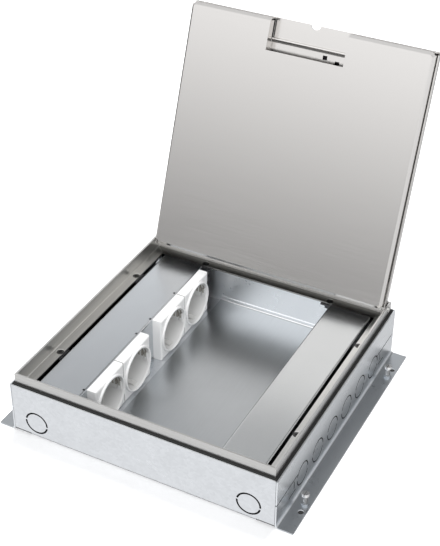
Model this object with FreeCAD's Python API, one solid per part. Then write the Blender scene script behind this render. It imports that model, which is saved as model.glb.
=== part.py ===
"""A recessed floor socket box: a folded steel casing with conduit knock-outs, a height-adjustable
stainless frame, a hinged lid with a cable flap, and four 45 mm socket modules beside a cable well.

Millimetres. X runs across the box, Y runs back to the hinge and Z is up. The origin is the centre of
the casing's underside.
"""
import FreeCAD, Part
import math
import os

os.makedirs("parts", exist_ok=True)
V = FreeCAD.Vector

# Casing
box_x = 250.0
box_y = 250.0
box_height = 50.0
sheet = 1.2
bend = 2.0
flange_width = 15.0
weld_lip_height = 7.0
weld_lip_end_gap = 14.0
corner_seam = 0.3

# Conduit knock-outs
knockout_r = 9.8
knockout_slot = 1.1
knockout_web = 0.15
knockout_bridge = 3.0
knockout_tilt = 8.0
end_knockout_x = 100.5
end_knockout_z = 16.0
side_knockout_count = 6
side_knockout_pitch = 30.4
side_knockout_z = 18.5
tab_slot = 1.1
tab_low_z = 11.5
tab_high_z = 24.5
tab_top_length = 40.0
tab_side_from_end = 33.0
tab_low_from_end = 23.0
tab_low_to_end = 36.0
tab_side_gap = 2.0

# Levelling screws and fixing holes in the flanges
leveller_from_end = 34.5
leveller_out = 9.5
leveller_r = 2.0
leveller_head_r = 3.3
leveller_head_height = 2.6
leveller_top = 13.0
leveller_slot = 0.9
collar_r = 3.6
collar_height = 2.0
fixing_hole_r = 2.6
fixing_hole_from_end = 24.5
fixing_hole_out = 10.5

# Adjustable frame
frame_gap = 2.3
frame_wall = 2.0
frame_rise = 10.0
ledge_drop = 13.5
ledge_thick = 1.5
ledge_reach = 10.8
frame_root_r = 0.8
frame_edge_r = 0.4
seal_thick = 2.0
seal_below_rim = 1.6
seal_above_rim = 1.0
frame_screw_line = 7.8
frame_screw_y = 65.0
frame_screw_r = 2.0
frame_screw_head_r = 3.3
frame_screw_length = 20.0
frame_screw_sink = 0.2
recess_width = 0.9
recess_depth = 0.9
bracket_sheet = 1.5
bracket_width = 15.0
bracket_leg = 9.5
bracket_reach = 14.5
bracket_bend = 1.0
nut_across = 7.0
nut_height = 3.2

# Insert: two raised covers and the floor of the well between them
insert_sheet = 0.8
insert_bend = 1.0
cover_above_ledge = 0.1
cover_side_gap = 3.2
cover_end_gap = 2.2
socket_wall_x = 66.2
blank_wall_x = 67.0
cover_inner_foot = 9.8
cover_outer_foot = 11.0
well_floor_from_x = -53.0
well_floor_lip = 4.6
relief_hole_r = 1.1
rivet_r = 1.6
rivet_head_r = 2.6
rivet_head_height = 1.2
rivet_pitch = 80.0

# Socket modules
module = 45.0
module_seam = 0.2
plate_height = 44.4
plate_thick = 9.0
plate_z = 1.4
plate_edge_r = 1.6
front_spare_share = 0.3054
back_spare_share = 0.1486
collar_ring_r = 21.7
collar_ring_height = 1.8
cup_r = 19.75
cup_depth = 17.5
cup_wall = 1.0
cup_floor = 2.0
window_half = 21.0
contact_spacing = 19.0
contact_hole_r = 2.6
guide_reach = 2.2
guide_half = 4.5
guide_depths = ((2.5, 5.0), (7.0, 17.5))
clip_sheet = 0.8
clip_width = 5.0
clip_arm_z = 18.4
clip_tip_x = 6.5
clip_bulge_x = 1.5
clip_bulge_in = 0.9
clip_straight_x = -4.5
housing_depth = 22.3
housing_half_y = 20.0
housing_half_z = 20.6
housing_wall = 1.2
housing_back = 1.5
housing_corner = 3.0
sleeve_r = 3.4
sleeve_bore_r = 2.5
terminal_size = 7.0
terminal_drop = 8.0
terminal_screw_r = 1.5
terminal_head_r = 2.2

# Earth stud on the casing floor, under the blank cover
earth_stud_x = 90.0
earth_stud_y = -60.0
earth_stud_r = 2.5
earth_stud_height = 13.0
earth_nut_across = 8.0
earth_nut_height = 4.0

# Lid, laid out closed
lid_side_gap = 0.5
lid_rear_gap = 1.2
lid_sheet = 1.2
lid_edge_r = 1.5
lid_flange_depth = 6.5
lid_corner_gap = 2.6
pan_sheet = 1.0
pan_seat_gap = 0.5
pan_flange_height = 5.5
pan_side_inset = 1.8
pan_front_inset = 0.4
pan_rear_inset = 4.8
pan_bevel = 2.4
pan_corner_cut = 3.2
pan_corner_gap = 2.4
stiffener_sheet = 1.0
stiffener_y = (-55.0, 5.0, 65.0)
stiffener_end_gap = 3.0
stiffener_crown_half = 8.0
stiffener_base_half = 10.0
stiffener_foot = 7.0

# Lid hinge
hinge_from_rear = 5.5
hinge_below_top = 3.5
hinge_pin_r = 1.5
hinge_head_r = 2.6
hinge_head_height = 1.0
hinge_arm_thick = 2.0
hinge_arm_length = 26.0
hinge_arm_eye_r = 3.0
hinge_arm_front_slope = 6.0
lid_open_angle = 110.3

# Cable outlet at the free edge of the lid
outlet_x0 = -37.0
outlet_x1 = 38.0
outlet_depth = 29.2
cheek_sheet = 1.0
cheek_height = 8.4
flap_length = 19.2
flap_side_gap = 0.4
flap_knuckle_r = 1.4
flap_pin_r = 0.8
flap_notch_x = 2.0
flap_notch_half = 5.0
flap_notch_depth = 4.0
rail_sheet = 1.2
rail_depth = 8.3
rail_ear_depth = 3.0
rail_overlap = 4.0
rail_hole = 2.6
rail_hole_places = ((15.5, 3.6), (27.5, 6.6))

# Clearances
turning_fit = 0.05
hole_play = 0.3
running_gap = 0.3
seat_play = 0.1

# Worked-out places
half_x = box_x / 2
half_y = box_y / 2
inner_x = half_x - sheet
inner_y = half_y - sheet
frame_x = inner_x - frame_gap
frame_y = inner_y - frame_gap
recess_x = frame_x - frame_wall
recess_y = frame_y - frame_wall
frame_top = box_height + frame_rise
ledge_top = frame_top - ledge_drop
ledge_bottom = ledge_top - ledge_thick
seal_bottom = box_height - seal_below_rim
seal_top = box_height + seal_above_rim
cover_top = ledge_top + cover_above_ledge
cover_outer_x = frame_x - ledge_reach - cover_side_gap
cover_half_y = frame_y - ledge_reach - cover_end_gap
lid_x = recess_x - lid_side_gap
lid_front = -(recess_y - lid_side_gap)
lid_rear = recess_y - lid_rear_gap
lid_under = frame_top - lid_sheet
lid_flange_bottom = frame_top - lid_flange_depth
hinge_y = recess_y - hinge_from_rear
hinge_z = frame_top - hinge_below_top
pan_x = lid_x - pan_side_inset
pan_front = lid_front + pan_front_inset
pan_rear = lid_rear - pan_rear_inset
pan_bottom = ledge_top + pan_seat_gap
pan_floor = pan_bottom + pan_sheet
pan_flange_top = pan_bottom + pan_flange_height
cheek_top = pan_bottom + cheek_height
pan_inner_bevel = pan_bevel - pan_sheet * (2 - math.sqrt(2))
stiffener_half_x = pan_x - pan_sheet - hinge_arm_thick - stiffener_end_gap
foot_top = sheet + insert_sheet
plate_half_y = (module - module_seam) / 2
plate_half_z = plate_height / 2
socket_z = plate_z + plate_half_z
pair_length = 2 * module
spare_length = 2 * cover_half_y - 2 * pair_length
pair_starts = (-cover_half_y + front_spare_share * spare_length,
               cover_half_y - back_spare_share * spare_length - pair_length)
socket_centres = [start + module * (i + 0.5) for start in pair_starts for i in range(2)]
collar_face = plate_thick + collar_ring_height
cup_bottom = collar_face - cup_depth
housing_front = cup_bottom - cup_floor
flap_axis_y = lid_front + flap_length
flap_axis_z = lid_under - flap_knuckle_r
outlet_back = lid_front + outlet_depth
SIDES = ("right", "back", "left", "front")


def save(name, *solids):
    """Write one node: a single solid, or a group of separate solids."""
    shape = solids[0] if len(solids) == 1 else Part.Compound(list(solids))
    shape.exportStep("parts/" + name + ".step")


def block(x0, x1, y0, y1, z0, z1):
    """A box between two corners."""
    return Part.makeBox(x1 - x0, y1 - y0, z1 - z0, V(x0, y0, z0))


def rod(start, direction, radius, length):
    """A round bar from its start point."""
    return Part.makeCylinder(radius, length, start, direction)


def joined(first, *others):
    """One solid from overlapping or face-to-face shapes."""
    return first.multiFuse(list(others)).removeSplitter()


def turned(shape, angle):
    """The shape turned about the box's upright centre line."""
    copy = shape.copy()
    copy.rotate(V(0, 0, 0), V(0, 0, 1), angle)
    return copy


def mirrored(shape):
    """The shape's twin on the other side of the YZ plane."""
    return shape.mirror(V(0, 0, 0), V(1, 0, 0))


def side_halves(across_x, half_a, half_b):
    """Distances across and along a side, for a side that faces X or one that faces Y."""
    return (half_a, half_b) if across_x else (half_b, half_a)


def rounded_run(points, radii):
    """The lines and arcs of an open path whose inner corners are rounded."""
    pieces = []
    last = points[0]
    for before, corner, after, radius in zip(points, points[1:], points[2:], radii):
        back = (before - corner).normalize()
        ahead = (after - corner).normalize()
        half_turn = (math.pi - back.getAngle(ahead)) / 2
        reach = radius * math.tan(half_turn)
        middle = (back + ahead).normalize()
        arc_start = corner + back * reach
        arc_end = corner + ahead * reach
        arc_middle = corner + middle * (radius / math.cos(half_turn) - radius)
        pieces.append((last, arc_start))
        pieces.append((arc_start, arc_middle, arc_end))
        last = arc_end
    pieces.append((last, points[-1]))
    return pieces


def folded_sheet(path, thickness, inner_bend, place, run):
    """A folded strip. The path is one face of it and the metal lies to the path's left.
    place() puts a path point into the part, and run is the strip's width as a vector."""
    near = [V(u, v, 0) for u, v in path]
    steps = [(b - a).normalize() for a, b in zip(near, near[1:])]
    lefts = [V(-step.y, step.x, 0) for step in steps]
    far = [near[0] + lefts[0] * thickness]
    near_radii = []
    far_radii = []
    for corner, before, after in zip(near[1:-1], lefts, lefts[1:]):
        far.append(corner + (before + after) * (thickness / (1 + before.dot(after))))
        turns_left = before.cross(after).z > 0
        near_radii.append(inner_bend + thickness * turns_left)
        far_radii.append(inner_bend + thickness * (not turns_left))
    far.append(near[-1] + lefts[-1] * thickness)
    outline = rounded_run(near, near_radii)
    outline.append((near[-1], far[-1]))
    outline += rounded_run(far[::-1], far_radii[::-1])
    outline.append((far[0], near[0]))
    edges = []
    for piece in outline:
        spots = [place(p.x, p.y) for p in piece]
        curve = Part.Arc(*spots) if len(spots) == 3 else Part.LineSegment(*spots)
        edges.append(curve.toShape())
    return Part.Face(Part.Wire(edges)).extrude(run)


def knockout_slots(centre, faces_x):
    """Two curved slots, sheared nearly through, that leave a conduit disc on a pair of bridges.
    The centre lies on the outer face of a wall that faces +X or -Y."""
    depth = sheet - knockout_web
    ring = rod(V(0, 0, -depth), V(0, 0, 1), knockout_r + knockout_slot, 2 * depth)
    ring = ring.cut(rod(V(0, 0, -depth), V(0, 0, 1), knockout_r, 2 * depth))
    reach = knockout_r * 2
    bridge = block(-reach, reach, -knockout_bridge / 2, knockout_bridge / 2, -depth, depth)
    bridge.rotate(V(0, 0, 0), V(0, 0, 1), -knockout_tilt)
    slots = ring.cut(bridge)
    across = V(0, 1, 0) if faces_x else V(1, 0, 0)
    through = V(1, 0, 0) if faces_x else V(0, -1, 0)
    slots.Placement = FreeCAD.Placement(centre, FreeCAD.Rotation(across, V(0, 0, 1), through, "ZXY"))
    return slots


# ---- Casing: a tray with its front and back walls, and two side walls with fixing flanges

def base_tray():
    """Front wall, floor and back wall folded from one sheet, with weld lips at its sides."""
    path = [(-half_y, box_height), (-half_y, 0), (half_y, 0), (half_y, box_height)]
    seam_x = inner_x - corner_seam
    tray = folded_sheet(path, sheet, bend, lambda u, v: V(-seam_x, u, v), V(2 * seam_x, 0, 0))
    lip_half = half_y - weld_lip_end_gap
    fold = bend + sheet
    lip_path = [(inner_x - 3 * fold, 0), (inner_x, 0), (inner_x, weld_lip_height)]
    for mirror in (False, True):
        lip = folded_sheet(lip_path, sheet, bend, lambda u, v: V(u, -lip_half, v), V(0, 2 * lip_half, 0))
        strip = block(inner_x - 2 * fold, inner_x + 1, -lip_half, lip_half, -1, sheet + 1)
        tray = tray.cut(mirrored(strip) if mirror else strip)
        tray = joined(tray, mirrored(lip) if mirror else lip)
    for x in (-end_knockout_x, end_knockout_x):
        slots = knockout_slots(V(x, -half_y, end_knockout_z), False)
        tray = tray.cut(slots).cut(turned(slots, 180))
    for place in rivet_places():
        tray = tray.cut(rod(place - V(0, 0, 2 * sheet), V(0, 0, 1), rivet_r, 4 * sheet))
    return tray


def side_wall():
    """The right-hand wall with its flange, knock-outs, tab slots and tapped collars."""
    path = [(inner_x, box_height), (inner_x, 0), (half_x + flange_width, 0)]
    wall = folded_sheet(path, sheet, bend, lambda u, v: V(u, -half_y, v), V(0, box_y, 0))
    for i in range(side_knockout_count):
        y = (i - (side_knockout_count - 1) / 2) * side_knockout_pitch
        wall = wall.cut(knockout_slots(V(half_x, y, side_knockout_z), True))
    for end in (-1, 1):
        for slot in tab_slots(end):
            wall = wall.cut(slot)
        screw = V(half_x + leveller_out, end * (half_y - leveller_from_end), 0)
        wall = joined(wall, rod(screw, V(0, 0, 1), collar_r, sheet + collar_height))
        wall = wall.cut(rod(screw - V(0, 0, 1), V(0, 0, 1), leveller_r + turning_fit, box_height / 2))
        hole = V(half_x + fixing_hole_out, end * (half_y - fixing_hole_from_end), -1)
        wall = wall.cut(rod(hole, V(0, 0, 1), fixing_hole_r, sheet + 2))
    return wall


def tab_slots(end):
    """Three straight slots round the rectangular trunking tab at one end of a side wall."""
    def slot(from_end, to_end, z0, z1):
        y0, y1 = sorted((end * (half_y - from_end), end * (half_y - to_end)))
        return block(half_x - 2 * sheet, half_x + sheet, y0, y1, z0, z1)
    top = slot(-1, tab_top_length, tab_high_z - tab_slot / 2, tab_high_z + tab_slot / 2)
    side = slot(tab_side_from_end - tab_slot / 2, tab_side_from_end + tab_slot / 2,
                tab_low_z + 3 * tab_slot, tab_high_z - tab_side_gap)
    low = slot(tab_low_from_end, tab_low_to_end, tab_low_z - tab_slot / 2, tab_low_z + tab_slot / 2)
    return top, side, low


def levelling_screw(x_sign, y_sign):
    """A slotted jack screw that stands in the flange's tapped collar."""
    foot = V(x_sign * (half_x + leveller_out), y_sign * (half_y - leveller_from_end), 0)
    neck = leveller_top - leveller_head_height
    shank = rod(foot, V(0, 0, 1), leveller_r, neck)
    head = rod(foot + V(0, 0, neck), V(0, 0, 1), leveller_head_r, leveller_head_height)
    crown = [e for e in head.Edges if e.BoundBox.ZMin > leveller_top - seat_play]
    head = head.makeFillet(leveller_head_height / 4, crown)
    reach = leveller_head_r + 1
    slot = block(-leveller_slot / 2, leveller_slot / 2, -reach, reach, 0, leveller_head_height)
    slot.translate(foot + V(0, 0, leveller_top - leveller_head_height / 2))
    return joined(shank, head).cut(slot)


# ---- Adjustable frame

def ledge_screw_places(across_x):
    """Screw centres along a side that faces +X before it is turned into place."""
    across = frame_x if across_x else frame_y
    return [V(across - frame_screw_line, y, 0) for y in (-frame_screw_y, frame_screw_y)]


def frame_bar(across_x):
    """One mitred angle bar: an upright wall with an inward ledge for the lid."""
    across, along = side_halves(across_x, frame_x, frame_y)
    wall_in = across - frame_wall
    ledge_in = across - ledge_reach
    corners = [(ledge_in, ledge_bottom), (across, ledge_bottom), (across, frame_top),
               (wall_in, frame_top), (wall_in, ledge_top), (ledge_in, ledge_top)]
    profile = [V(x, -along, z) for x, z in corners]
    bar = Part.Face(Part.makePolygon(profile + profile[:1])).extrude(V(0, 2 * along, 0))
    root = [e for e in bar.Edges if is_long_edge(e, wall_in, ledge_top, along)]
    bar = bar.makeFillet(frame_root_r, root)
    lips = [e for e in bar.Edges if is_long_edge(e, across, frame_top, along)]
    lips += [e for e in bar.Edges if is_long_edge(e, wall_in, frame_top, along)]
    bar = bar.makeFillet(frame_edge_r, lips)
    plan = [V(across, along, 0), V(ledge_in, along - ledge_reach, 0),
            V(ledge_in, ledge_reach - along, 0), V(across, -along, 0)]
    mitre = Part.Face(Part.makePolygon(plan + plan[:1])).extrude(V(0, 0, frame_top + 1))
    bar = bar.common(mitre)
    for place in ledge_screw_places(across_x):
        top = place + V(0, 0, ledge_top)
        sink = frame_screw_head_r - frame_screw_r
        wide = frame_screw_head_r + frame_screw_sink + seat_play
        bar = bar.cut(Part.makeCone(wide, wide - sink, sink, top, V(0, 0, -1)))
        bar = bar.cut(rod(top, V(0, 0, -1), wide - sink, 2 * ledge_thick))
    return bar


def is_long_edge(edge, x, z, along):
    """True for the edge of a bar that runs its whole length at this x and z."""
    box = edge.BoundBox
    return box.YLength > along and abs(box.Center.x - x) < seat_play and abs(box.Center.z - z) < seat_play


def frame_seal():
    """A rubber strip round the frame that closes the gap to the casing."""
    outer = block(-frame_x - seal_thick, frame_x + seal_thick, -frame_y - seal_thick,
                  frame_y + seal_thick, seal_bottom, seal_top)
    rim = [e for e in outer.Edges if e.BoundBox.ZMin > seal_top - seat_play]
    outer = outer.makeChamfer(seal_thick / 4, rim)
    return outer.cut(block(-frame_x, frame_x, -frame_y, frame_y, 0, box_height * 2))


def countersunk_screw(place):
    """A ledge screw: a countersunk head with a cross recess, and its shank."""
    top = place + V(0, 0, ledge_top - frame_screw_sink)
    sink = frame_screw_head_r - frame_screw_r
    screw = joined(Part.makeCone(frame_screw_head_r, frame_screw_r, sink, top, V(0, 0, -1)),
                   rod(top, V(0, 0, -1), frame_screw_r, frame_screw_length))
    reach = frame_screw_head_r * 0.6
    for half_u, half_v in ((reach, recess_width / 2), (recess_width / 2, reach)):
        recess = block(-half_u, half_u, -half_v, half_v, -recess_depth, 1)
        recess.translate(top)
        screw = screw.cut(recess)
    return screw


def frame_bracket(across_x, place):
    """An angle welded to the casing wall under the ledge, drilled for its screw."""
    inner = inner_x if across_x else inner_y
    top = ledge_bottom - running_gap
    path = [(inner, top - bracket_leg), (inner, top), (inner - bracket_reach, top)]
    start = place.y - bracket_width / 2
    bracket = folded_sheet(path, bracket_sheet, bracket_bend, lambda u, v: V(u, start, v),
                           V(0, bracket_width, 0))
    return bracket.cut(rod(place, V(0, 0, 1), frame_screw_r + hole_play, box_height))


def bracket_nut(place):
    """A square weld nut under a bracket."""
    top = ledge_bottom - running_gap - bracket_sheet
    half = nut_across / 2
    nut = block(place.x - half, place.x + half, place.y - half, place.y + half, top - nut_height, top)
    return nut.cut(rod(place, V(0, 0, 1), frame_screw_r + turning_fit, box_height))


# ---- Insert: socket cover, blank cover and well floor

def raised_cover(wall_x):
    """A left-hand cover folded as a hat: inner foot, wall, top, outer wall and outer foot."""
    path = [(-wall_x - cover_inner_foot, sheet), (-wall_x, sheet), (-wall_x, cover_top),
            (-cover_outer_x, cover_top), (-cover_outer_x, foot_top),
            (-cover_outer_x - cover_outer_foot, foot_top)]
    return folded_sheet(path, insert_sheet, insert_bend, lambda u, v: V(u, -cover_half_y, v),
                        V(0, 2 * cover_half_y, 0))


def rivet_places():
    """Rivet centres on the outer feet of both covers, at the top of the feet."""
    x = cover_outer_x + cover_outer_foot / 2
    return [V(side * x, i * rivet_pitch, foot_top) for side in (-1, 1) for i in (-1, 0, 1)]


def cover_rivet(place):
    """A dome-headed rivet through a cover's foot and the casing floor."""
    dome_r = (rivet_head_r ** 2 + rivet_head_height ** 2) / (2 * rivet_head_height)
    dome = Part.makeSphere(dome_r, place + V(0, 0, rivet_head_height - dome_r))
    head = dome.common(rod(place, V(0, 0, 1), rivet_head_r * 2, rivet_head_height * 2))
    return joined(head, rod(place, V(0, 0, -1), rivet_r, foot_top))


def socket_cover():
    """The left cover, with a window behind each socket and relief holes at its edge."""
    cover = raised_cover(socket_wall_x)
    for y in socket_centres:
        cover = cover.cut(block(-socket_wall_x - 2, -socket_wall_x + 1, y - window_half, y + window_half,
                                socket_z - window_half, socket_z + window_half))
    hole_x = -socket_wall_x - insert_sheet - relief_hole_r
    for y in (pair_starts[0] - 1.4, pair_starts[0] + 2 * module - 4.6,
              pair_starts[1] - 0.4, pair_starts[1] + module - 0.6):
        cover = cover.cut(rod(V(hole_x, y, cover_top - 2), V(0, 0, 1), relief_hole_r, 4))
    for place in rivet_places()[:3]:
        cover = cover.cut(rod(place - V(0, 0, sheet), V(0, 0, 1), rivet_r, 2 * sheet))
    return cover


def blank_cover():
    """The right cover, closed towards the well."""
    cover = mirrored(raised_cover(blank_wall_x))
    for place in rivet_places()[3:]:
        cover = cover.cut(rod(place - V(0, 0, sheet), V(0, 0, 1), rivet_r, 2 * sheet))
    return cover


def well_floor():
    """The loose floor plate of the cable well, with upturned ends."""
    lip_top = sheet + well_floor_lip
    path = [(-inner_y, lip_top), (-inner_y, sheet), (inner_y, sheet), (inner_y, lip_top)]
    width = blank_wall_x - seat_play - well_floor_from_x
    return folded_sheet(path, insert_sheet, bend, lambda u, v: V(well_floor_from_x, u, v), V(width, 0, 0))


# ---- Socket modules, laid out round their own axis with the cover's wall face at x = 0

def socket_shell():
    """The white moulding: square plate, round collar and the plug cup behind it."""
    plate = block(0, plate_thick, -plate_half_y, plate_half_y, -plate_half_z, plate_half_z)
    rim = [e for e in plate.Edges if e.BoundBox.XMin > plate_thick - seat_play]
    plate = plate.makeFillet(plate_edge_r, rim)
    collar = rod(V(0, 0, 0), V(1, 0, 0), collar_ring_r, collar_face)
    lip = [e for e in collar.Edges if e.BoundBox.XMin > collar_face - seat_play]
    collar = collar.makeFillet(collar_ring_height / 2, lip)
    cup = rod(V(housing_front, 0, 0), V(1, 0, 0), cup_r + cup_wall, -housing_front)
    shell = joined(plate, collar, cup)
    shell = shell.cut(rod(V(cup_bottom, 0, 0), V(1, 0, 0), cup_r, cup_depth + 1))
    mouth = [e for e in shell.Edges if e.BoundBox.XMin > collar_face - seat_play
             and e.BoundBox.ZLength < 2 * cup_r + seat_play]
    shell = shell.makeFillet(collar_ring_height / 4, mouth)
    for start, end in guide_depths:
        bar = block(collar_face - end, collar_face - start, -cup_r - cup_wall / 2, cup_r + cup_wall / 2,
                    -guide_half, guide_half)
        bar = bar.cut(block(cup_bottom - 1, collar_face, guide_reach - cup_r, cup_r - guide_reach,
                            -guide_half, guide_half))
        shell = joined(shell, bar)
    for y in (-contact_spacing / 2, contact_spacing / 2):
        shell = shell.cut(rod(V(housing_front - 1, y, 0), V(1, 0, 0), contact_hole_r, cup_floor + 2))
    slot_half = clip_width / 2 + hole_play
    for z in (clip_arm_z - hole_play, -clip_arm_z - clip_sheet - hole_play):
        shell = shell.cut(block(housing_front - 1, cup_bottom + 1, -slot_half, slot_half,
                                z, z + clip_sheet + 2 * hole_play))
    return shell


def earth_clip():
    """One springy strip that passes behind the cup floor and bears on the plug at both sides."""
    back = housing_front - insert_sheet
    half = [(clip_tip_x, clip_arm_z), (clip_bulge_x, clip_arm_z - clip_bulge_in),
            (clip_straight_x, clip_arm_z), (back, clip_arm_z)]
    path = [(x, -z) for x, z in half] + half[::-1]
    return folded_sheet(path, clip_sheet, clip_sheet, lambda u, v: V(u, -clip_width / 2, v),
                        V(0, clip_width, 0))


def terminal_places():
    """Centres of the two terminal screws, on the housing's back face."""
    return [V(housing_front - housing_depth, y, -terminal_drop)
            for y in (-contact_spacing / 2, contact_spacing / 2)]


def socket_housing():
    """The moulded box behind the cup that holds the contacts."""
    back = housing_front - housing_depth
    body = block(back, housing_front, -housing_half_y, housing_half_y, -housing_half_z, housing_half_z)
    body = body.makeChamfer(housing_corner, [e for e in body.Edges if e.BoundBox.XLength > housing_depth / 2])
    room_y = housing_half_y - housing_wall
    room_z = housing_half_z - housing_wall
    room = block(back + housing_back, housing_front + 1, -room_y, room_y, -room_z, room_z)
    room = room.makeChamfer(housing_corner, [e for e in room.Edges if e.BoundBox.XLength > housing_depth / 2])
    body = body.cut(room)
    for place in terminal_places():
        body = body.cut(rod(place - V(1, 0, 0), V(1, 0, 0), terminal_head_r + hole_play, housing_back + 2))
    return body


def live_contact(side):
    """A brass plug-pin sleeve with its terminal block."""
    y = side * contact_spacing / 2
    back = housing_front - housing_depth + housing_back
    front = housing_front - seat_play
    sleeve = rod(V(back, y, 0), V(1, 0, 0), sleeve_r, front - back)
    half = terminal_size / 2
    terminal = block(back, back + terminal_size, y - half, y + half, -terminal_drop - half, 0)
    contact = joined(sleeve, terminal)
    contact = contact.cut(rod(V(back - 1, y, 0), V(1, 0, 0), sleeve_bore_r, front - back + 2))
    return contact.cut(rod(V(back - 1, y, -terminal_drop), V(1, 0, 0), terminal_screw_r + turning_fit,
                           terminal_size + 2))


def terminal_screw(place):
    """A terminal screw whose head sits in the housing's back wall."""
    head = rod(place, V(1, 0, 0), terminal_head_r, housing_back)
    shank = rod(place, V(1, 0, 0), terminal_screw_r, housing_back + terminal_size)
    slot = block(-1, housing_back / 2, -terminal_head_r, terminal_head_r, -recess_width / 2, recess_width / 2)
    slot.translate(place)
    return joined(head, shank).cut(slot)


def in_socket(shape, y):
    """A module's piece moved to its place on the socket cover's wall."""
    copy = shape.copy()
    copy.translate(V(-socket_wall_x, y, socket_z))
    return copy


# ---- Lid, modelled closed and then swung open about its pins

def swung_open(shape):
    """The closed lid's piece turned to where it leans back on the frame."""
    copy = shape.copy()
    copy.rotate(V(0, hinge_y, hinge_z), V(1, 0, 0), -lid_open_angle)
    return copy


def corner_gaps(half_across, front, rear, gap, z0, z1):
    """The open corners between neighbouring folded edges."""
    gaps = []
    for x in (-half_across, half_across):
        for y in (front, rear):
            gaps.append(block(x - gap, x + gap, y - gap, y + gap, z0, z1))
    return gaps


def rim_edges(shape, z):
    """The level edges of a shape at this height."""
    level = [e for e in shape.Edges if e.BoundBox.ZLength < seat_play]
    return [e for e in level if abs(e.BoundBox.Center.z - z) < seat_play]


def upright_edges(shape):
    """The edges of a block that run straight up."""
    return [e for e in shape.Edges if e.BoundBox.XLength + e.BoundBox.YLength < seat_play]


def flap_ends():
    """Where the flap starts and stops across the lid."""
    return outlet_x0 + flap_side_gap / 2, outlet_x1 - flap_side_gap / 2


def lid_cover():
    """The lid's outer skin, with the flap's cut-out and the holes for the hinge pins."""
    skin = block(-lid_x, lid_x, lid_front, lid_rear, lid_flange_bottom, frame_top)
    skin = skin.makeFillet(lid_edge_r, rim_edges(skin, frame_top))
    room = block(lid_sheet - lid_x, lid_x - lid_sheet, lid_front + lid_sheet, lid_rear + 1,
                 lid_flange_bottom - 1, lid_under)
    skin = skin.cut(room)
    for gap in corner_gaps(lid_x, lid_front, lid_rear, lid_corner_gap, 0, lid_under - seat_play):
        skin = skin.cut(gap)
    x0, x1 = flap_ends()
    back = flap_axis_y + flap_knuckle_r + lid_sheet + running_gap
    skin = skin.cut(block(x0 - flap_side_gap, x1 + flap_side_gap, lid_front - 1, back, 0, frame_top + 1))
    return skin.cut(rod(V(-half_x, hinge_y, hinge_z), V(1, 0, 0), hinge_pin_r + hole_play * 1.5, box_x))


def lid_pan():
    """The lid's inner pan: a bevelled border, cropped corners, and the cable cut-out's two cheeks."""
    pan = block(-pan_x, pan_x, pan_front, pan_rear, pan_bottom, pan_flange_top)
    room = block(pan_sheet - pan_x, pan_x - pan_sheet, pan_front + pan_sheet, pan_rear - pan_sheet,
                 pan_floor, frame_top)
    pan = pan.makeChamfer(pan_corner_cut, upright_edges(pan))
    room = room.makeChamfer(pan_corner_cut, upright_edges(room))
    pan = pan.makeChamfer(pan_bevel, rim_edges(pan, pan_bottom))
    pan = pan.cut(room.makeChamfer(pan_inner_bevel, rim_edges(room, pan_floor)))
    for gap in corner_gaps(pan_x, pan_front, pan_rear, pan_corner_gap, pan_bottom + pan_bevel, frame_top):
        pan = pan.cut(gap)
    pan = pan.cut(block(outlet_x0, outlet_x1, lid_front - 1, outlet_back, 0, frame_top))
    for x in (outlet_x0 - cheek_sheet, outlet_x1):
        cheek = block(x, x + cheek_sheet, pan_front + pan_bevel, outlet_back, pan_bottom, cheek_top)
        pan = joined(pan, cheek)
    return pan


def lid_stiffener(y):
    """A hat-section rib between the pan and the outer skin."""
    crown = lid_under - stiffener_sheet
    half = [(-stiffener_base_half - stiffener_foot, pan_floor), (-stiffener_base_half, pan_floor),
            (-stiffener_crown_half, crown)]
    path = half + [(-u, v) for u, v in half[::-1]]
    return folded_sheet(path, stiffener_sheet, stiffener_sheet, lambda u, v: V(-stiffener_half_x, y + u, v),
                        V(2 * stiffener_half_x, 0, 0))


def lid_hinge_arm():
    """The right-hand hinge plate inside the lid, with the eye that turns on the pin."""
    outer = pan_x - pan_sheet
    inner = outer - hinge_arm_thick
    heel = pan_rear - pan_sheet - pan_corner_cut
    toe = hinge_y - hinge_arm_length
    foot = pan_floor + pan_inner_bevel
    shoulder = pan_flange_top + running_gap
    corners = [V(inner, toe + hinge_arm_front_slope, foot), V(inner, heel, foot), V(inner, heel, shoulder),
               V(inner, hinge_y, shoulder), V(inner, hinge_y, lid_under), V(inner, toe, lid_under)]
    plate = Part.Face(Part.makePolygon(corners + corners[:1])).extrude(V(hinge_arm_thick, 0, 0))
    eye = rod(V(inner, hinge_y, hinge_z), V(1, 0, 0), hinge_arm_eye_r, hinge_arm_thick)
    arm = joined(plate, eye).common(block(inner, outer, toe, lid_rear, 0, lid_under))
    return arm.cut(rod(V(0, hinge_y, hinge_z), V(1, 0, 0), hinge_pin_r + turning_fit, half_x))


def hinge_pin():
    """The right-hand pin, riveted in the frame's side bar."""
    inner = pan_x - pan_sheet - hinge_arm_thick - 1
    shank = rod(V(inner, hinge_y, hinge_z), V(1, 0, 0), hinge_pin_r, frame_x - inner)
    head = rod(V(frame_x, hinge_y, hinge_z), V(1, 0, 0), hinge_head_r, hinge_head_height)
    rim = [e for e in head.Edges if e.BoundBox.XMin > frame_x + seat_play]
    return joined(shank, head.makeFillet(hinge_head_height / 2, rim))


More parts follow.
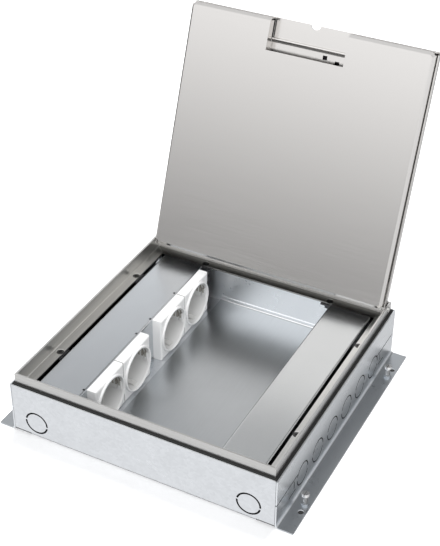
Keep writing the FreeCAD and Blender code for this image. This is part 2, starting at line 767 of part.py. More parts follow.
def outlet_rail():
    """The fixed strip behind the flap, with an ear at each end for the flap's pin."""
    x0, x1 = flap_ends()
    front = flap_axis_y + flap_knuckle_r + lid_sheet + 2 * running_gap
    rail_under = lid_under - rail_sheet
    rail = block(x0 - rail_overlap, x1 + rail_overlap, front, front + rail_depth, rail_under, lid_under)
    for x in (x0 - flap_side_gap - rail_sheet, x1 + flap_side_gap):
        ear = block(x, x + rail_sheet, flap_axis_y, front + rail_depth, lid_under - rail_ear_depth, lid_under)
        nose_r = rail_ear_depth / 2
        nose = rod(V(x, flap_axis_y, lid_under - nose_r), V(1, 0, 0), nose_r, rail_sheet)
        rail = joined(rail, ear, nose)
    rail = rail.cut(rod(V(x0 - 9, flap_axis_y, flap_axis_z), V(1, 0, 0), flap_pin_r, x1 - x0 + 18))
    half = rail_hole / 2
    for x, from_front in rail_hole_places:
        y = front + from_front
        rail = rail.cut(block(x - half, x + half, y - half, y + half, 0, frame_top))
    return rail


def flap_pin():
    """The flap's hinge wire, fixed in the rail's ears."""
    x0, x1 = flap_ends()
    reach = flap_side_gap + rail_sheet
    return rod(V(x0 - reach, flap_axis_y, flap_axis_z), V(1, 0, 0), flap_pin_r, x1 - x0 + 2 * reach)


def outlet_flap():
    """The hinged flap that closes the cable outlet, with a finger notch in its free edge."""
    x0, x1 = flap_ends()
    plate = block(x0, x1, lid_front, flap_axis_y, lid_under, frame_top)
    web = block(x0, x1, flap_axis_y - flap_knuckle_r, flap_axis_y, flap_axis_z, lid_under)
    knuckle = rod(V(x0, flap_axis_y, flap_axis_z), V(1, 0, 0), flap_knuckle_r, x1 - x0)
    flap = joined(plate, web, knuckle)
    bore = rod(V(x0 - 1, flap_axis_y, flap_axis_z), V(1, 0, 0), flap_pin_r + turning_fit, x1 - x0 + 2)
    flap = flap.cut(bore)
    end = lid_front + flap_notch_depth - flap_notch_half
    notch = rod(V(flap_notch_x, end, 0), V(0, 0, 1), flap_notch_half, frame_top + 1)
    slot = block(flap_notch_x - flap_notch_half, flap_notch_x + flap_notch_half, lid_front - 9, end, 0,
                 frame_top + 1)
    return flap.cut(notch).cut(slot)


# ---- Write every node

save("base_tray", base_tray())
right_wall = side_wall()
save("side_wall_right", right_wall)
save("side_wall_left", mirrored(right_wall))
save("well_floor", well_floor())
save("socket_cover", socket_cover())
save("blank_cover", blank_cover())
save("cover_rivets", *[cover_rivet(place) for place in rivet_places()])

stud_foot = V(earth_stud_x, earth_stud_y, sheet)
save("earth_stud", rod(stud_foot, V(0, 0, 1), earth_stud_r, earth_stud_height))
nut_corner_r = earth_nut_across / math.sqrt(3)
nut_corners = [stud_foot + V(nut_corner_r * math.cos(math.radians(60 * i)),
                             nut_corner_r * math.sin(math.radians(60 * i)), 0) for i in range(7)]
earth_nut = Part.Face(Part.makePolygon(nut_corners)).extrude(V(0, 0, earth_nut_height))
save("earth_nut", earth_nut.cut(rod(stud_foot, V(0, 0, 1), earth_stud_r + turning_fit, earth_nut_height)))

shell = socket_shell()
housing = socket_housing()
clip = earth_clip()
contacts = [live_contact(side) for side in (-1, 1)]
terminal_screws = [terminal_screw(place) for place in terminal_places()]
for number, y in enumerate(socket_centres, 1):
    save("socket_shell_%d" % number, in_socket(shell, y))
    save("socket_housing_%d" % number, in_socket(housing, y))
    save("earth_clip_%d" % number, in_socket(clip, y))
save("live_contacts", *[in_socket(contact, y) for y in socket_centres for contact in contacts])
save("terminal_screws", *[in_socket(screw, y) for y in socket_centres for screw in terminal_screws])

brackets = []
nuts = []
screws = []
pin_hole = rod(V(-box_x, hinge_y, hinge_z), V(1, 0, 0), hinge_pin_r, 2 * box_x)
for quarter, side in enumerate(SIDES):
    angle = 90 * quarter
    across_x = quarter % 2 == 0
    bar = turned(frame_bar(across_x), angle)
    save("frame_bar_" + side, bar.cut(pin_hole) if across_x else bar)
    for place in ledge_screw_places(across_x):
        brackets.append(turned(frame_bracket(across_x, place), angle))
        nuts.append(turned(bracket_nut(place), angle))
        screws.append(turned(countersunk_screw(place), angle))
save("frame_brackets", *brackets)
save("bracket_nuts", *nuts)
save("frame_screws", *screws)
save("frame_seal", frame_seal())
pin = hinge_pin()
save("hinge_pins", pin, mirrored(pin))

hinge_arm = lid_hinge_arm()
save("lid_cover", swung_open(lid_cover()))
save("lid_pan", swung_open(lid_pan()))
save("lid_stiffeners", *[swung_open(lid_stiffener(y)) for y in stiffener_y])
save("lid_hinge_arm_right", swung_open(hinge_arm))
save("lid_hinge_arm_left", swung_open(mirrored(hinge_arm)))
save("outlet_rail", swung_open(outlet_rail()))
save("flap_pin", swung_open(flap_pin()))
save("outlet_flap", swung_open(outlet_flap()))

for number, (x_sign, y_sign) in enumerate(((-1, -1), (1, -1), (1, 1), (-1, 1)), 1):
    save("levelling_screw_%d" % number, levelling_screw(x_sign, y_sign))
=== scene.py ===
import math

import bpy
import numpy as np
from mathutils import Matrix, Vector


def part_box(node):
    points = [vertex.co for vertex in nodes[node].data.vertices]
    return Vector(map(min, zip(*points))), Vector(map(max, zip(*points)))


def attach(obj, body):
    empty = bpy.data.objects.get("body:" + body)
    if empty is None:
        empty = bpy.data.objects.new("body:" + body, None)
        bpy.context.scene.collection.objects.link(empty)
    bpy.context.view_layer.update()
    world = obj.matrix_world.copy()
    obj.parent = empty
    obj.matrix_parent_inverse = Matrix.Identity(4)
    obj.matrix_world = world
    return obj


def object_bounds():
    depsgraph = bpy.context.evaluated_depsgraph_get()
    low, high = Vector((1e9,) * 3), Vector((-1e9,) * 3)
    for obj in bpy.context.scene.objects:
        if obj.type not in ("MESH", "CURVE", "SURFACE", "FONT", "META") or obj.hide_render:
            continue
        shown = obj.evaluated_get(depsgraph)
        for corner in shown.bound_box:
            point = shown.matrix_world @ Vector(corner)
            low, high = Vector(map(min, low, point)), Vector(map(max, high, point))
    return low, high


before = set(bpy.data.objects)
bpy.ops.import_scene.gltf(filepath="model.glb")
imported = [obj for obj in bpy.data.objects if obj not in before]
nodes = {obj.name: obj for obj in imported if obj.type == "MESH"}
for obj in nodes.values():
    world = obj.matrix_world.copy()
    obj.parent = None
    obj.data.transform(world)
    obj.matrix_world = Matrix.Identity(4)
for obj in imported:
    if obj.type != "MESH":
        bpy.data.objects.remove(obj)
cad_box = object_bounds()


# ---- The view and the studio
# A long lens stands in front of the box and to its right, looking down into the open casing.
# The studio is a dim room with a white floor and soft glows in front, at the right, overhead and
# low down behind on the left. One softbox lights only the socket modules, another only the floor.

VIEW_AZIMUTH = math.radians(27.335)
VIEW_ELEVATION = math.radians(35.2485)
VIEW_ROLL = math.radians(0.358)
VIEW_TARGET = Vector((0, 0, 0.075))
VIEW_DISTANCE = 1.0926
VIEW_SIDE_STEP = 0.00853
VIEW_RISE = 0.04317
VIEW_LENS = 83.2835

back = Vector((math.sin(VIEW_AZIMUTH) * math.cos(VIEW_ELEVATION),
               -math.cos(VIEW_AZIMUTH) * math.cos(VIEW_ELEVATION),
               math.sin(VIEW_ELEVATION)))
level = Vector((math.cos(VIEW_AZIMUTH), math.sin(VIEW_AZIMUTH), 0))
upward = back.cross(level)
right = math.cos(VIEW_ROLL) * level + math.sin(VIEW_ROLL) * upward
top = -math.sin(VIEW_ROLL) * level + math.cos(VIEW_ROLL) * upward

camera = bpy.data.objects.new("camera", bpy.data.cameras.new("camera"))
bpy.context.scene.collection.objects.link(camera)
camera.data.lens = VIEW_LENS
camera.data.sensor_width = 36
camera.data.clip_end = 20
place = VIEW_TARGET + back * VIEW_DISTANCE + right * VIEW_SIDE_STEP + top * VIEW_RISE
turn = Matrix((right, top, back)).transposed().to_4x4()
camera.matrix_world = Matrix.Translation(place) @ turn
bpy.context.scene.camera = camera
bpy.context.scene.view_settings.view_transform = "Standard"


class Signal:
    """A shader socket that Python's operators can work on: each one adds a Math node."""

    def __init__(self, tree, socket):
        self.tree = tree
        self.socket = socket

    def math(self, operation, other=0.0, swap=False, clamp=False):
        pair = (other, self) if swap else (self, other)
        settings = {"operation": operation, "use_clamp": clamp}
        return self.tree.node("ShaderNodeMath", settings, {0: pair[0], 1: pair[1]})

    def __add__(self, other):
        return self.math("ADD", other)

    __radd__ = __add__

    def __mul__(self, other):
        return self.math("MULTIPLY", other)

    __rmul__ = __mul__

    def __sub__(self, other):
        return self.math("SUBTRACT", other)

    def __rsub__(self, other):
        return self.math("SUBTRACT", other, swap=True)

    def __truediv__(self, other):
        return self.math("DIVIDE", other)

    def __mod__(self, other):
        return self.math("FLOORED_MODULO", other)

    def __gt__(self, other):
        return self.math("GREATER_THAN", other)

    def __lt__(self, other):
        return self.math("LESS_THAN", other)

    def __neg__(self):
        return self.math("MULTIPLY", -1.0)

    def __abs__(self):
        return self.math("ABSOLUTE")

    def sign(self):
        return self.math("SIGN")

    def root(self):
        return self.math("SQRT")

    def clamped(self):
        return self.math("ADD", 0.0, clamp=True)


class Tree:
    """A node tree and a short way to add nodes to it."""

    def __init__(self, tree):
        self.tree = tree

    def node(self, kind, settings, inputs, output=0):
        made = self.tree.nodes.new(kind)
        for key, value in settings.items():
            setattr(made, key, value)
        for key, value in inputs.items():
            if isinstance(value, Signal):
                self.tree.links.new(value.socket, made.inputs[key])
            else:
                made.inputs[key].default_value = value
        return Signal(self, made.outputs[output])

    def split(self, vector):
        """The three parts of a vector."""
        parts = self.node("ShaderNodeSeparateXYZ", {}, {0: vector})
        return [Signal(self, socket) for socket in parts.socket.node.outputs]

    def step(self, value, low, high):
        """Runs smoothly from 0 at low to 1 at high."""
        return self.node("ShaderNodeMapRange", {"interpolation_type": "SMOOTHSTEP"},
                         {"Value": value, "From Min": low, "From Max": high})


class Finish(Tree):
    """One material: its node tree, its Principled shader and short ways to colour it."""

    def __init__(self, name, color, roughness, metallic=0.0):
        self.material = bpy.data.materials.new(name)
        self.material.use_nodes = True
        super().__init__(self.material.node_tree)
        self.shader = self.tree.nodes["Principled BSDF"]
        self.color = color
        self.set("Base Color", (*color, 1))
        self.set("Roughness", roughness)
        self.set("Metallic", metallic)
        self.spot = self.node("ShaderNodeTexCoord", {}, {}, output="Object")
        self.x, self.y, self.z = self.split(self.spot)

    def set(self, key, value):
        if isinstance(value, Signal):
            self.tree.links.new(value.socket, self.shader.inputs[key])
        else:
            self.shader.inputs[key].default_value = value

    def mix(self, factor, first, second):
        """A colour that runs from first to second."""
        inputs = {0: factor}
        for key, value in ((6, first), (7, second)):
            inputs[key] = value if isinstance(value, Signal) else (*value, 1)
        return self.node("ShaderNodeMix", {"data_type": "RGBA"}, inputs, output=2)

    def blend(self, factor, first, second):
        """Makes the surface run from the first colour to the second."""
        self.color = self.mix(factor, first, second)
        self.set("Base Color", self.color)

    def vary(self, tone, darkest, lightest):
        """Lets the plain colour run from a darker to a lighter shade of itself, given as shares of it."""
        shades = [tuple(min(1.0, part * share) for part in self.color) for share in (darkest, lightest)]
        self.blend(tone, *shades)

    def paint(self, mask, color):
        """Lays a colour over the present one where the mask is 1."""
        self.blend(mask, self.color, color)

    def noise(self, scale, detail, at=None):
        inputs = {"Vector": at or self.spot, "Scale": scale, "Detail": detail, "Roughness": 0.6}
        return self.node("ShaderNodeTexNoise", {}, inputs, output="Fac")

    def streaks(self, along, fine, long, detail, turned=(0, 0, 0)):
        """Noise with a fine scale across and a long one along one axis of the turned Object coordinates."""
        scale = [fine] * 3
        scale[along] = long
        facing = {"Vector": self.spot, "Rotation": turned}
        straight = self.node("ShaderNodeMapping", {"vector_type": "TEXTURE"}, facing)
        stretched = self.node("ShaderNodeMapping", {}, {"Vector": straight, "Scale": scale})
        return self.noise(scale=1.0, detail=detail, at=stretched)

    def bump(self, height, strength, distance):
        inputs = {"Height": height, "Strength": strength, "Distance": distance}
        self.set("Normal", self.node("ShaderNodeBump", {}, inputs, output="Normal"))

    def dress(self, *names):
        for name in names:
            piece = nodes[name] if isinstance(name, str) else name
            piece.data.materials.clear()
            piece.data.materials.append(self.material)


def softbox(name, spot, aim, size, power, lit):
    """A square softbox that faces its aim, lights only the objects given and isn't mirrored in them."""
    lamp = bpy.data.objects.new(name, bpy.data.lights.new(name, "AREA"))
    lamp.data.shape = "SQUARE"
    lamp.data.size = size
    lamp.data.energy = power
    lamp.location = spot
    lamp.rotation_euler = (Vector(aim) - Vector(spot)).to_track_quat("-Z", "Y").to_euler()
    lamp.visible_glossy = False
    lamp.light_linking.receiver_collection = bpy.data.collections.new("lit_by_" + name)
    for piece in lit:
        lamp.light_linking.receiver_collection.objects.link(piece)
    bpy.context.scene.collection.objects.link(lamp)


ROOM = 0.20
GROUND = 0.80
GROUND_BEHIND = 0.62
FRONT = 1.14
BACK_LEFT = 0.20
BACK_LEFT_LOW = 1.0
OVERHEAD = 0.35
RIGHT = 0.6
DAYLIGHT = (0.985, 0.99, 1.0, 1)

world = bpy.data.worlds.new("studio")
bpy.context.scene.world = world
world.use_nodes = True
sky = Tree(world.node_tree)
east, north, height = sky.split(sky.node("ShaderNodeTexCoord", {}, {}, output="Generated"))
ahead = sky.step(-north, -0.2, 0.5)
back_left = (1 - ahead) * sky.step(-east, -0.1, 0.3)
ground_glow = sky.step(-height, 0.24, 0.50) * (ahead * (1 - GROUND_BEHIND) + GROUND_BEHIND)
front_glow = ahead * sky.step(height, -0.02, 0.30)
back_left_glow = back_left * sky.step(height, -0.15, 0.05)
low_glow = back_left * (1 - sky.step(height, 0.565, 0.615)) * sky.step(height, 0.2, 0.4)
overhead_glow = sky.step(height, 0.75, 0.90)
right_glow = sky.step(east, 0.45, 0.8) * sky.step(height, -0.35, -0.15)
glow = (ROOM + ground_glow * GROUND + front_glow * FRONT + back_left_glow * BACK_LEFT
        + low_glow * BACK_LEFT_LOW + overhead_glow * OVERHEAD + right_glow * RIGHT)
seen = sky.node("ShaderNodeLightPath", {}, {}, output="Is Camera Ray")
backdrop = world.node_tree.nodes["Background"]
backdrop.inputs["Color"].default_value = DAYLIGHT
world.node_tree.links.new((glow * (1 - seen) + seen).socket, backdrop.inputs["Strength"])

FLOOR_REACH = 6
FLOOR_WHITE = (0.95, 0.95, 0.95)
FLOOR_GLOW = 0.06
PAINTED_SHADOW_UNDER_BOX = (0.05, 0.05, 0.05)
UNDER_BOX_MARGIN = 0.0015

floor_corners = [(-FLOOR_REACH, -FLOOR_REACH, 0), (FLOOR_REACH, -FLOOR_REACH, 0),
                 (FLOOR_REACH, FLOOR_REACH, 0), (-FLOOR_REACH, FLOOR_REACH, 0)]
floor_mesh = bpy.data.meshes.new("studio_floor")
floor_mesh.from_pydata(floor_corners, [], [(0, 1, 2, 3)])
floor = bpy.data.objects.new("studio_floor", floor_mesh)
bpy.context.scene.collection.objects.link(floor)
floor.visible_glossy = False

floor_finish = Finish("white_floor", FLOOR_WHITE, roughness=0.6)
floor_finish.set("Specular IOR Level", 0.0)
floor_finish.set("Emission Strength", FLOOR_GLOW)
# Painted shadow under the box: near black and without glow, just inside its footprint.
patch_x, patch_y = (-edge - UNDER_BOX_MARGIN for edge in cad_box[0][:2])
painted_shadow_under_box = (abs(floor_finish.x) < patch_x) * (abs(floor_finish.y) < patch_y)
floor_finish.paint(painted_shadow_under_box, PAINTED_SHADOW_UNDER_BOX)
floor_finish.set("Emission Color", floor_finish.mix(painted_shadow_under_box, (1, 1, 1), (0, 0, 0)))
floor_finish.dress(floor)

mouldings = [nodes[name] for name in nodes if name.startswith(("socket_shell", "earth_clip"))]
softbox("key_softbox", spot=(0.3, -0.6, 1.7), aim=(0, 0, 0.05), size=1.0, power=11, lit=mouldings)
softbox("overhead_softbox", spot=(-0.1, 0.78, 1.6), aim=(0, -0.05, 0), size=0.9, power=32, lit=[floor])


# ---- Casing: the folded tray and the two side walls
# Hot-dip galvanised sheet, pressed and folded, with a fine crystal spangle in the zinc.
# Painted shade darkens the knock-out grooves, the faces inside the walls and those in the narrow gaps.

PAINTED_SHADE = (0.012, 0.012, 0.013)
TRAY_ZINC = (0.78, 0.80, 0.825)
BACK_WALL_PAINTED_LIGHT = (0.95, 0.965, 0.98)
SIDE_ZINC = (0.87, 0.895, 0.92)
FLANGE_PAINTED_SHADE = (0.55, 0.575, 0.60)
ZINC_ROUGHNESS = 0.30
ZINC_POLISH = 0.14
SPANGLE = 0.3
CLOUDS = 0.5
GRAIN = 0.35

WEB_MARGIN = 0.0001
FACE_MARGIN = 0.00006
RIM_MARGIN = 0.0035
CORNER_MARGIN = 0.0055
FLANGE_BEND = 0.0013
BESIDE_WELL = 0.068
COVER_EDGE = 0.1073
GAP_FLOOR = 0.0009
GAP_TOP = 0.005
WELL_BACK = 0.1225
KNOCKOUT_X = 0.1005
KNOCKOUT_Z = 0.016
KNOCKOUT_RADIUS = 0.01035
KNOCKOUT_TILT = math.radians(8)
GROOVE_HALF = 0.0008
BRIDGE_HALF = 0.0008

wall_inside, wall_outside, wall_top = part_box("base_tray")[1]
groove_floor = wall_inside + WEB_MARGIN
groove_top = wall_outside - FACE_MARGIN


def galvanised(name, color):
    """Zinc-coated steel: crystals from Voronoi cells, clouds and a fine grain from noise."""
    finish = Finish(name, color, ZINC_ROUGHNESS, metallic=1.0)
    cells = {"Vector": finish.spot, "Scale": 420.0}
    crystals = finish.node("ShaderNodeTexVoronoi", {}, cells, output="Color")
    facet = finish.node("ShaderNodeSeparateColor", {}, {"Color": crystals})
    cloud = finish.noise(scale=38.0, detail=4.0)
    grain = finish.noise(scale=1600.0, detail=2.0)
    tone = (facet - 0.5) * SPANGLE + (cloud - 0.5) * CLOUDS + (grain - 0.5) * GRAIN
    finish.vary((tone + 0.5).clamped(), darkest=0.88, lightest=1.08)
    finish.set("Roughness", (ZINC_ROUGHNESS - tone * ZINC_POLISH).clamped())
    finish.bump(grain * 0.6 + facet * 0.4, strength=0.2, distance=0.00001)
    return finish


def on_wall(finish, across):
    """The part of a wall that is clear of its bend, its rim and its corners."""
    return ((finish.z > RIM_MARGIN) * (finish.z < wall_top - RIM_MARGIN)
            * (abs(across) < wall_outside - CORNER_MARGIN))


side_zinc = galvanised("side_wall_zinc", SIDE_ZINC)
# Painted shade on the side walls' inner faces and in their knock-out grooves.
side_zinc.paint(on_wall(side_zinc, side_zinc.y) * (abs(side_zinc.x) < groove_top), PAINTED_SHADE)
# Painted shade: the flanges are a darker copy of the same zinc.
side_zinc.paint(abs(side_zinc.x) > wall_outside + FLANGE_BEND, FLANGE_PAINTED_SHADE)
side_zinc.dress("side_wall_left", "side_wall_right")

tray_zinc = galvanised("tray_zinc", TRAY_ZINC)
behind_face = abs(tray_zinc.y) < groove_top
groove = (abs(tray_zinc.y) > groove_floor) * behind_face
beside_well = (abs(tray_zinc.x) > BESIDE_WELL) * behind_face
# Painted shade in the front and back walls' grooves and on their inner faces beside the well.
tray_zinc.paint((on_wall(tray_zinc, tray_zinc.x) * (groove + beside_well)).clamped(), PAINTED_SHADE)
# Painted shade on the tray's floor in the narrow gaps beside the covers.
in_gap = (abs(tray_zinc.x) > COVER_EDGE) * (tray_zinc.z > GAP_FLOOR) * (tray_zinc.z < GAP_TOP)
tray_zinc.paint(in_gap * behind_face, PAINTED_SHADE)
# Painted light: the well's back wall is a lighter copy of the same zinc.
back_wall = (tray_zinc.y > WELL_BACK) * (tray_zinc.y < groove_floor)
tray_zinc.paint(back_wall * (1 - beside_well), BACK_WALL_PAINTED_LIGHT)

# Painted shade in the front knock-outs' grooves and in a thin ring beside them, broken at the bridges.
knockout_x = tray_zinc.x - tray_zinc.x.sign() * KNOCKOUT_X
knockout_z = tray_zinc.z - KNOCKOUT_Z
from_centre = (knockout_x * knockout_x + knockout_z * knockout_z).root()
from_bridge = abs(knockout_x * math.sin(KNOCKOUT_TILT) + knockout_z * math.cos(KNOCKOUT_TILT))
ring = (abs(from_centre - KNOCKOUT_RADIUS) < GROOVE_HALF) * (from_bridge > BRIDGE_HALF)
tray_zinc.paint(ring * (tray_zinc.y < -groove_floor), PAINTED_SHADE)
tray_zinc.dress("base_tray")


# ---- Levelling screws
# Bright turned steel, two in each flange, with a cut thread below the neck and a slotted head
# above it. Painted shade darkens the thread's roots and the neck under the head.

THREAD_STEEL = (0.80, 0.80, 0.80)
THREAD_ROOT_PAINTED_SHADE = (0.22, 0.22, 0.22)
NECK_SHADE = (0.05, 0.05, 0.05)
THREAD_PITCH = 0.0007
THREAD_SLOPE = 2800
ROOT_WIDTH = 0.45
THREAD_TOP = 0.0092
NECK_LOW = 0.0094
NECK_HIGH = 0.0105

levelling = Finish("levelling_screw_steel", THREAD_STEEL, roughness=0.14, metallic=1.0)
flank = abs(levelling.z % THREAD_PITCH - THREAD_PITCH / 2) * THREAD_SLOPE
on_thread = levelling.z < THREAD_TOP
levelling.bump(flank * on_thread, strength=0.6, distance=0.0002)
# Painted shade in the thread's roots.
levelling.paint((flank < ROOT_WIDTH) * on_thread, THREAD_ROOT_PAINTED_SHADE)
levelling.paint((levelling.z > NECK_LOW) * (levelling.z < NECK_HIGH), NECK_SHADE)
levelling.dress(*["levelling_screw_%d" % i for i in range(1, 5)])


# ---- Insert: two covers and the floor of the well between them
# Thinner zinc-coated sheet with a drawn grain that runs along the box, held by aluminium rivets.
# The covers' outer edges are folded down, and the well's floor is turned up at both ends.

WELL_ZINC = (0.575, 0.60, 0.62)
WELL_LIP_HIGHLIGHT = (0.97, 0.98, 0.99)
SOCKET_COVER_ZINC = (0.62, 0.645, 0.67)
BLANK_COVER_ZINC = (0.78, 0.80, 0.81)
BLANK_FOLD_PAINTED_SHADE = (0.42, 0.43, 0.44)
WELL_LIP = 0.0024
COVER_SHOULDER = 0.033
BLANK_FOLD = 0.0014
ALONG_BOX = 1


def drawn(name, color, roughness, contrast):
    """Sheet with faint streaks along the box over soft clouds."""
    finish = Finish(name, color, roughness, metallic=1.0)
    streak = finish.streaks(ALONG_BOX, fine=900.0, long=30.0, detail=3.0)
    cloud = finish.noise(scale=45.0, detail=4.0)
    tone = ((streak - 0.5) * 0.8 + (cloud - 0.5) * 0.8 + 0.5).clamped()
    finish.vary(tone, 1 - contrast, 1 + contrast)
    finish.set("Roughness", ((streak - 0.5) * 0.03 + roughness).clamped())
    return finish


well = drawn("well_floor_zinc", WELL_ZINC, roughness=0.30, contrast=0.05)
# Painted highlight: the well floor's turned-up lip is painted near white.
well.paint(well.z > WELL_LIP, WELL_LIP_HIGHLIGHT)
well.dress("well_floor")

socket_cover = drawn("socket_cover_zinc", SOCKET_COVER_ZINC, roughness=0.24, contrast=0.04)
blank_cover = drawn("blank_cover_zinc", BLANK_COVER_ZINC, roughness=0.26, contrast=0.03)
# Painted shade on the covers' folded outer edges, down in the gaps.
for cover in (socket_cover, blank_cover):
    cover.paint((abs(cover.x) > COVER_EDGE) * (cover.z < COVER_SHOULDER), PAINTED_SHADE)
# Painted shade along the blank cover's fold beside the well.
blank_cover.paint(blank_cover.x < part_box("blank_cover")[0].x + BLANK_FOLD, BLANK_FOLD_PAINTED_SHADE)
socket_cover.dress("socket_cover")
blank_cover.dress("blank_cover")

rivet = Finish("rivet_aluminium", (0.75, 0.75, 0.75), roughness=0.35, metallic=1.0)
rivet.dress("cover_rivets")


# ---- Socket modules and what is wired to them
# Glossy white mouldings on grey housings, set in two pairs. Each cup has guide ribs on its far
# side and a nickelled earth strip, and behind it brass contacts with zinc-plated screws.

MOULDING_WHITE = (0.93, 0.93, 0.925)
CUP_SHADE = (0.60, 0.60, 0.59)
GUIDE_SHADE = (0.36, 0.345, 0.31)
SEAM_SHADE = (0.35, 0.35, 0.345)
CUP_RADIUS = 0.019825
CUP_DEPTH = 0.0175
CUP_LIP = 0.1
LIP_SHADE = 0.3
GUIDE_SIDE = 0.0120
GUIDE_HALF_HEIGHT = 0.0045
GUIDE_START = 0.16
GUIDE_PITCH = 0.0032
GUIDE_WIDTH = 0.0019
SEAM_SIDE = 0.02205

housing = Finish("grey_moulding", (0.7, 0.7, 0.68), roughness=0.5)
nickel = Finish("nickel_strip", (0.86, 0.855, 0.84), roughness=0.4, metallic=0.35)
for i in range(1, 5):
    low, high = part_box("socket_shell_%d" % i)
    middle = (low + high) / 2
    white = Finish("white_moulding_%d" % i, MOULDING_WHITE, roughness=0.24)
    white.set("Coat Weight", 0.1)
    out_y = white.y - middle.y
    out_z = white.z - middle.z
    in_cup = out_y * out_y + out_z * out_z < CUP_RADIUS ** 2
    depth = ((high.x - white.x) / CUP_DEPTH).clamped()
    white.paint(in_cup * (depth * (1 - LIP_SHADE) + (depth > CUP_LIP) * LIP_SHADE), CUP_SHADE)
    beside_guides = (out_y > GUIDE_SIDE) * (abs(out_z - GUIDE_HALF_HEIGHT) < GUIDE_HALF_HEIGHT)
    between_guides = (depth > GUIDE_START) * (white.x % GUIDE_PITCH < GUIDE_WIDTH)
    white.paint(in_cup * beside_guides * between_guides, GUIDE_SHADE)
    towards_twin = 1 if i % 2 else -1
    white.paint(out_y * towards_twin > SEAM_SIDE, SEAM_SHADE)
    white.dress("socket_shell_%d" % i)
    housing.dress("socket_housing_%d" % i)
    nickel.dress("earth_clip_%d" % i)

brass = Finish("brass_parts", (0.75, 0.55, 0.25), roughness=0.3, metallic=1.0)
brass.dress("live_contacts", "earth_stud", "earth_nut")
screw_zinc = Finish("terminal_screw_zinc", (0.72, 0.73, 0.75), roughness=0.28, metallic=1.0)
screw_zinc.dress("terminal_screws")


# ---- Frame: four bars with a ledge inside, and what holds them
# Stainless angle, mitred and brushed along each bar, over a black rubber seal. Screws in the
# ledge go down into brackets and nuts that lie in shade.

FRAME_STEEL = (0.68, 0.675, 0.655)
FRONT_STEEL = (0.64, 0.635, 0.62)
BACK_STEEL_SHADED = (0.44, 0.435, 0.42)
RIGHT_STEEL_LIT = (0.84, 0.835, 0.82)
BAR_ROUGHNESS = 0.33
BAR_CONTRAST = 0.16
RIGHT_CONTRAST = 0.14
ACROSS_BOX = 0


def brushed(name, color, roughness, along, contrast, turned=(0, 0, 0)):
    """Steel with fine streaks along one axis of its own turned coordinates."""
    finish = Finish(name, color, roughness, metallic=1.0)
    grain = finish.streaks(along, fine=1500.0, long=20.0, detail=2.0, turned=turned)
    finish.vary(grain, 1 - contrast, 1 + contrast)
    finish.set("Roughness", ((grain - 0.5) * 0.1 + roughness).clamped())
    return finish


# The bars are lit and shaded copies of one steel: painted shade darkens the back bar much and the front bar
# a little, and the right bar is painted lighter.
front_bar = brushed("frame_steel_across", FRONT_STEEL, BAR_ROUGHNESS, ACROSS_BOX, BAR_CONTRAST)
front_bar.dress("frame_bar_front")
back_bar = brushed("frame_steel_back_shaded", BACK_STEEL_SHADED, BAR_ROUGHNESS, ACROSS_BOX, BAR_CONTRAST)
back_bar.dress("frame_bar_back")
left_bar = brushed("frame_steel_along", FRAME_STEEL, BAR_ROUGHNESS, ALONG_BOX, BAR_CONTRAST)
left_bar.dress("frame_bar_left", "hinge_pins")
right_bar = brushed("frame_steel_right_lit", RIGHT_STEEL_LIT, BAR_ROUGHNESS, ALONG_BOX, RIGHT_CONTRAST)
right_bar.dress("frame_bar_right")

rubber = Finish("black_rubber", (0.010, 0.010, 0.010), roughness=0.6)
rubber.dress("frame_seal")
shaded_zinc = Finish("shaded_zinc", (0.10, 0.10, 0.105), roughness=0.45, metallic=1.0)
shaded_zinc.dress("frame_brackets", "bracket_nuts")
frame_screw = Finish("frame_screw_steel", (0.13, 0.13, 0.13), roughness=0.3, metallic=1.0)
frame_screw.dress("frame_screws")


# ---- Lid: the pan, its stiffeners, the flap on its pin, and the hinge arms
# Stainless sheet with a very fine finish, almost smooth, that swings back on the hinge. A painted
# highlight lightens the pan's bevelled border along its free edge and its right side.

LID_TILT = math.radians(-110.3)
LID_HINGE = (0, 0.114, 0.0565)
LID_STEEL = (0.74, 0.72, 0.70)
BORDER_HIGHLIGHT = (0.84, 0.82, 0.80)
LID_ROUGHNESS = 0.22
LID_CONTRAST = 0.025
ARM_CONTRAST = 0.05
PAN_BEVEL = 0.0024
lid_turn = (LID_TILT, 0, 0)
lid_swing = np.array(Matrix.Rotation(LID_TILT, 3, "X"))


def corners_when_shut(name):
    """The lowest and highest corner of a lid piece in the shut lid, counted from the hinge.

    A row of coordinates, less the hinge, times the swing's matrix is that point swung back.
    """
    mesh = nodes[name].data
    points = np.empty(len(mesh.vertices) * 3, dtype=np.float32)
    mesh.vertices.foreach_get("co", points)
    shut = (points.reshape(-1, 3) - LID_HINGE) @ lid_swing
    return shut.min(axis=0), shut.max(axis=0)


def split_when_shut(finish):
    """Object coordinates in the shut lid, counted from the hinge, as three parts."""
    swing = {"Vector": finish.spot, "Location": LID_HINGE, "Rotation": lid_turn}
    return finish.split(finish.node("ShaderNodeMapping", {"vector_type": "TEXTURE"}, swing))


pan_low, pan_high = corners_when_shut("lid_pan")
lid_steel = brushed("lid_steel", LID_STEEL, LID_ROUGHNESS, ACROSS_BOX, LID_CONTRAST, lid_turn)
shut_x, shut_y, shut_z = split_when_shut(lid_steel)
# Painted highlight on the pan's bevelled border.
border = ((shut_x > pan_high[0] - PAN_BEVEL) + (shut_y < pan_low[1] + PAN_BEVEL)).clamped()
lid_steel.paint(border * (shut_z < pan_low[2] + PAN_BEVEL), BORDER_HIGHLIGHT)
lid_steel.dress("lid_pan", "lid_stiffeners", "flap_pin", "outlet_flap")
arm_steel = brushed("hinge_arm_steel", FRAME_STEEL, BAR_ROUGHNESS, ACROSS_BOX, ARM_CONTRAST, lid_turn)
arm_steel.dress("lid_hinge_arm_left", "lid_hinge_arm_right")
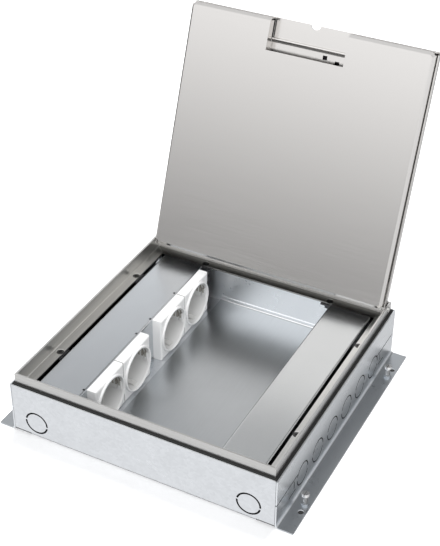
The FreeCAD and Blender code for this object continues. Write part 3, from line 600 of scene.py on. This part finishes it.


# ---- Lid's skin and the fixed strip behind the flap
# The same stainless sheet as the pan. The strip has two small square holes; painted shade makes
# them dark, on the strip and on the skin behind them.

RAIL_DEPTH = 0.0083
RAIL_UNDERSIDE = 0.0026
HOLES = ((0.0162, 0.0036), (0.0282, 0.0066))
HOLE_HALF_X = 0.0021
HOLE_HALF_Y = 0.0019

cover_steel = brushed("lid_cover_steel", LID_STEEL, LID_ROUGHNESS, ACROSS_BOX, LID_CONTRAST, lid_turn)
shut_x, shut_y, shut_z = split_when_shut(cover_steel)
rail_front = corners_when_shut("outlet_rail")[1][1] - RAIL_DEPTH
# Painted shade in and behind the strip's two holes.
for hole_x, from_front in HOLES:
    hole = (abs(shut_x - hole_x) < HOLE_HALF_X) * (abs(shut_y - (rail_front + from_front)) < HOLE_HALF_Y)
    cover_steel.paint(hole * (shut_z < RAIL_UNDERSIDE), PAINTED_SHADE)
cover_steel.dress("lid_cover", "outlet_rail")


# ---- Flap's tail
# A thin steel lip, coloured near black as painted shade, that runs on behind the flap's pin and
# closes the slot in front of the strip.
# It is one with the flap and turns with it, in the shade of the lid.

TAIL_PAINTED_SHADE = (0.16, 0.155, 0.15)
TAIL_REACH = 0.0028
TAIL_START = 0.0012
TAIL_SHEET = 0.0005

# The eight corners are all choices of low or high for x, y and z, swung open; the faces look outwards.
flap_low, flap_high = corners_when_shut("outlet_flap")
pin_y, pin_z = (sum(corners_when_shut("flap_pin")) / 2)[1:]
tail_low = (flap_low[0], pin_y + TAIL_START, pin_z - TAIL_SHEET / 2)
tail_high = (flap_high[0], pin_y + TAIL_REACH, pin_z + TAIL_SHEET / 2)
choices = np.indices((2, 2, 2)).reshape(3, 8).T
corners = np.where(choices, tail_high, tail_low) @ lid_swing.T + LID_HINGE
faces = [(0, 1, 3, 2), (4, 6, 7, 5), (0, 4, 5, 1), (2, 3, 7, 6), (0, 2, 6, 4), (1, 5, 7, 3)]
tail_mesh = bpy.data.meshes.new("flap_tail")
tail_mesh.from_pydata(corners.tolist(), [], faces)
flap_tail = bpy.data.objects.new("flap_tail", tail_mesh)
bpy.context.scene.collection.objects.link(flap_tail)
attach(flap_tail, "flap")
# Near-black colour as painted shade.
shaded_steel = Finish("shaded_steel", TAIL_PAINTED_SHADE, roughness=0.4, metallic=1.0)
shaded_steel.dress(flap_tail)
